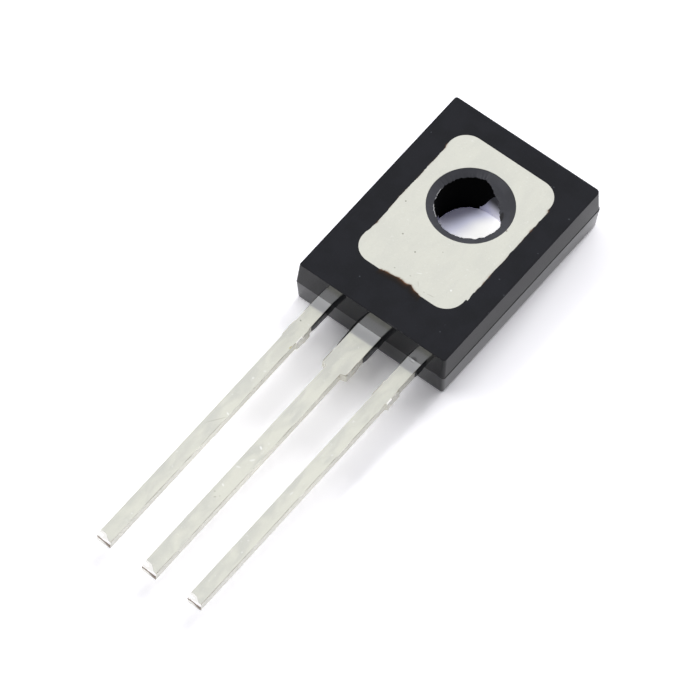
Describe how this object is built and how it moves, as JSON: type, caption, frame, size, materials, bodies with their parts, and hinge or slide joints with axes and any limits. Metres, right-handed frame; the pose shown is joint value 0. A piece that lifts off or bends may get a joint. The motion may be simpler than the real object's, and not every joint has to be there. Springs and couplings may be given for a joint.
{
  "type": "power transistor",
  "caption": "Flat moulded power transistor: black epoxy body with an exposed metal back, a screw hole and a row of straight leads.",
  "frame": {"origin": "on the screw hole's axis, in the plane of the front face, on which the part lies", "axes": "+Z towards the exposed metal back, -Y along the leads, X across the row of leads"},
  "size_m": [0.0076, 0.0249, 0.0025],
  "materials": {
    "epoxy": "black moulding compound, satin on the flat faces and glossier on the drafted walls",
    "tinned_copper": "matt tin plating over copper",
    "solder": "soft solder",
    "silicon": "polished silicon",
    "bond_wire": "bright aluminium wire"
  },
  "bodies": {
    "root": {"moulded_body": "epoxy", "header": "tinned_copper", "emitter_lead": "tinned_copper", "base_lead": "tinned_copper", "die_solder": "solder", "silicon_die": "silicon", "emitter_wire": "bond_wire", "base_wire": "bond_wire"}
  },
  "joints": []
}
